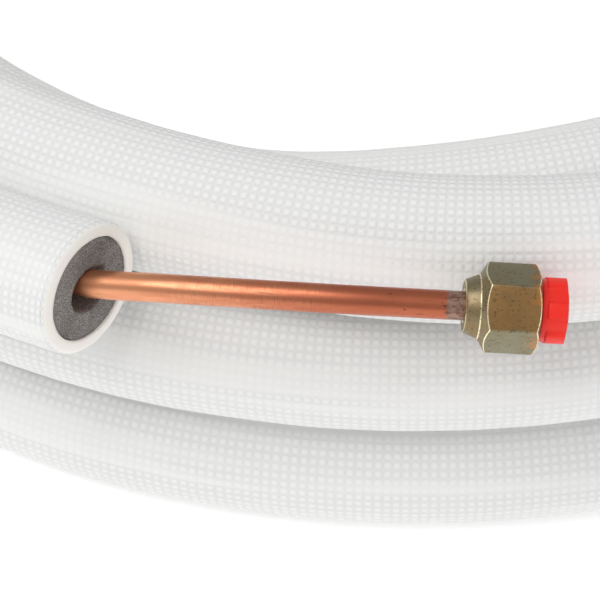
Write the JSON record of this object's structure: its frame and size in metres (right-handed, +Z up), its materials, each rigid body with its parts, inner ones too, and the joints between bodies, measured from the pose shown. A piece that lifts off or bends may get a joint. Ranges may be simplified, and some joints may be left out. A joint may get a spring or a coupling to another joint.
{
  "type": "mini split line set",
  "caption": "Coiled pair of insulated copper refrigerant lines with white embossed foam jackets, hexagonal flare nuts and plastic transport caps.",
  "frame": {"origin": "on the floor, under the middle of the whole set", "axes": "+Z up, the axis of the coil, which lies flat; -Y towards the side that the picture shows; X along that side"},
  "size_m": [0.4414, 0.449, 0.1088],
  "materials": {
    "jacket": "white embossed polyethylene skin, soft matt",
    "foam": "grey closed-cell foam, cut face",
    "copper": "soft drawn copper, orange near the foam and duller near the nut",
    "nut": "forged brass with a worn yellow-green passivated coat",
    "cap": "bright red moulded plastic"
  },
  "bodies": {
    "coil": {"liquid_jacket": "jacket", "liquid_foam": "foam", "liquid_copper": "copper", "suction_jacket": "jacket", "suction_foam": "foam", "suction_copper": "copper"},
    "liquid_nut_a": {"liquid_flare_nut_a": "nut", "liquid_cap_a": "cap"},
    "liquid_nut_b": {"liquid_flare_nut_b": "nut", "liquid_cap_b": "cap"},
    "suction_nut_a": {"suction_flare_nut_a": "nut", "suction_cap_a": "cap"},
    "suction_nut_b": {"suction_flare_nut_b": "nut", "suction_cap_b": "cap"}
  },
  "joints": [
    {"name": "liquid_nut_a_turn", "type": "hinge", "parent": "coil", "child": "liquid_nut_a", "pos_m": [-0.02393, 0.19622, 0.01425], "axis": [0.9588, 0.284, 0], "continuous": true},
    {"name": "liquid_nut_b_turn", "type": "hinge", "parent": "coil", "child": "liquid_nut_b", "pos_m": [0.02139, -0.21477, 0.08341], "axis": [0.9965, 0.0137, -0.0819], "continuous": true},
    {"name": "suction_nut_a_turn", "type": "hinge", "parent": "coil", "child": "suction_nut_a", "pos_m": [-0.04193, 0.15731, 0.01524], "axis": [0.8933, 0.4495, 0], "continuous": true},
    {"name": "suction_nut_b_turn", "type": "hinge", "parent": "coil", "child": "suction_nut_b", "pos_m": [0.11852, 0.19931, 0.09702], "axis": [-0.5327, 0.8418, 0.0872], "continuous": true}
  ]
}
